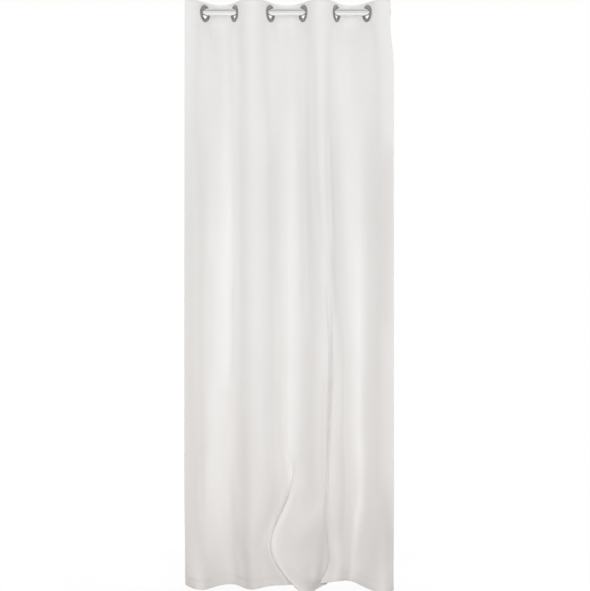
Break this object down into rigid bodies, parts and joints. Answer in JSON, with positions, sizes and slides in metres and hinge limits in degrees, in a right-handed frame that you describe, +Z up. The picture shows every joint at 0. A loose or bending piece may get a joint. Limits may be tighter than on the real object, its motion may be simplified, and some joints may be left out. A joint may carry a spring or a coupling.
{
  "type": "velvet eyelet curtain on a rod",
  "caption": "Velvet curtain panel with metal eyelets, hanging in soft uneven folds from a straight round rod.",
  "frame": {"origin": "the middle of the rod's axis, between its supports", "axes": "+X along the rod to the right of someone facing the curtain, +Y toward the wall, +Z up; the face of the cloth looks toward -Y"},
  "size_m": [0.8094, 0.146, 2.2955],
  "materials": {
    "velvet": "off-white short-pile velvet, matt with a soft sheen",
    "eyelet_metal": "polished nickel",
    "rod_metal": "satin steel"
  },
  "bodies": {
    "root": {"rod": "rod_metal", "panel": "velvet", "eyelet_front_1": "eyelet_metal", "eyelet_back_1": "eyelet_metal", "eyelet_front_2": "eyelet_metal", "eyelet_back_2": "eyelet_metal", "eyelet_front_3": "eyelet_metal", "eyelet_back_3": "eyelet_metal", "eyelet_front_4": "eyelet_metal", "eyelet_back_4": "eyelet_metal", "eyelet_front_5": "eyelet_metal", "eyelet_back_5": "eyelet_metal", "eyelet_front_6": "eyelet_metal", "eyelet_back_6": "eyelet_metal"}
  },
  "joints": []
}
